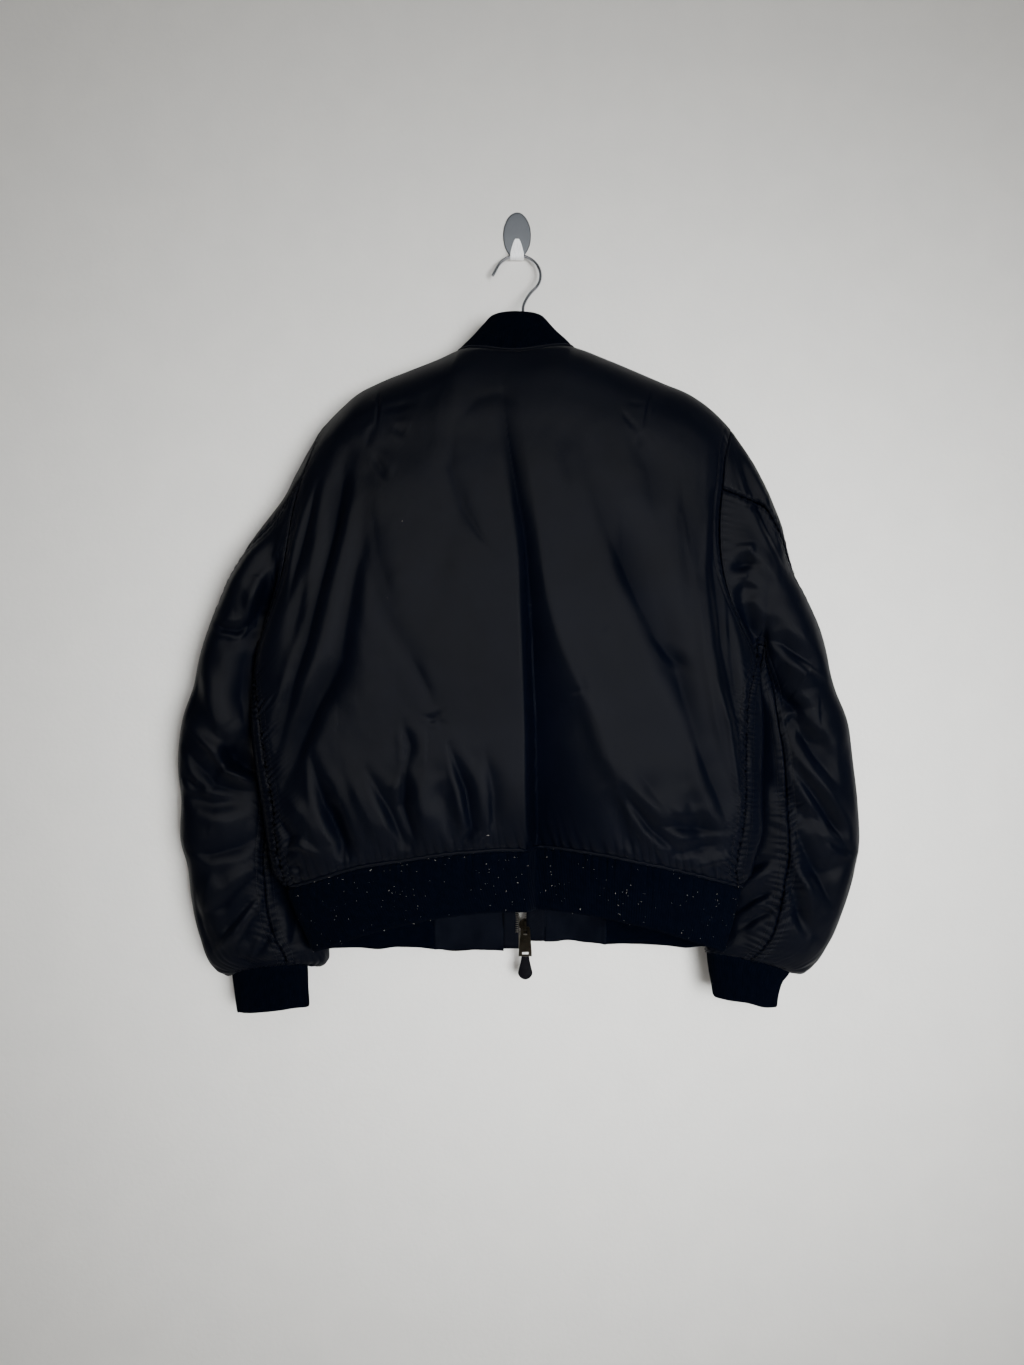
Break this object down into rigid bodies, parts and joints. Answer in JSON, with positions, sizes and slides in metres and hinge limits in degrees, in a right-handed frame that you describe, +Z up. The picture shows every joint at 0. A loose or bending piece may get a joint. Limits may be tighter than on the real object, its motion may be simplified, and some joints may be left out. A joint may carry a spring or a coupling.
{
  "type": "bomber jacket on hanger with wall hook",
  "caption": "Satin flight jacket with rib collar, cuffs and hem band and an open front zip, hanging from an oval steel wall hook by a hanger.",
  "frame": {"origin": "centre of the wall plate's back face, where it sticks to the wall", "axes": "+X to the right of someone facing the wall, +Y into the wall, +Z up; the jacket's back faces -Y"},
  "size_m": [0.848, 0.1207, 1.025],
  "materials": {
    "satin": "black satin nylon over light padding, soft sheen",
    "rib": "matt black rib knit",
    "tape": "matt black woven zip tape",
    "brass": "aged brass, dull",
    "tab": "smooth black pull tab",
    "chrome": "polished wire",
    "wood": "clear varnish",
    "steel": "brushed sheet steel"
  },
  "bodies": {
    "jacket": {"back_panel": "satin", "front_left": "satin", "front_right": "satin", "sleeve_left_back": "satin", "sleeve_left_front": "satin", "sleeve_right_back": "satin", "sleeve_right_front": "satin", "hem_end_left": "satin", "hem_end_right": "satin", "hem_band": "rib", "collar": "rib", "cuff_left": "rib", "cuff_right": "rib", "zip_tape_left": "tape", "zip_tape_right": "tape", "zip_slider": "brass", "hanger_hook": "chrome", "hanger_bar": "wood", "wall_hook": "steel"},
    "pull": {"zip_pull": "brass", "pull_tab": "tab"}
  },
  "joints": [
    {"name": "pull_swing", "type": "hinge", "parent": "jacket", "child": "pull", "pos_m": [0.0104, -0.025, -0.8903], "axis": [-1, 0, 0], "range_deg": [0, 165]}
  ]
}
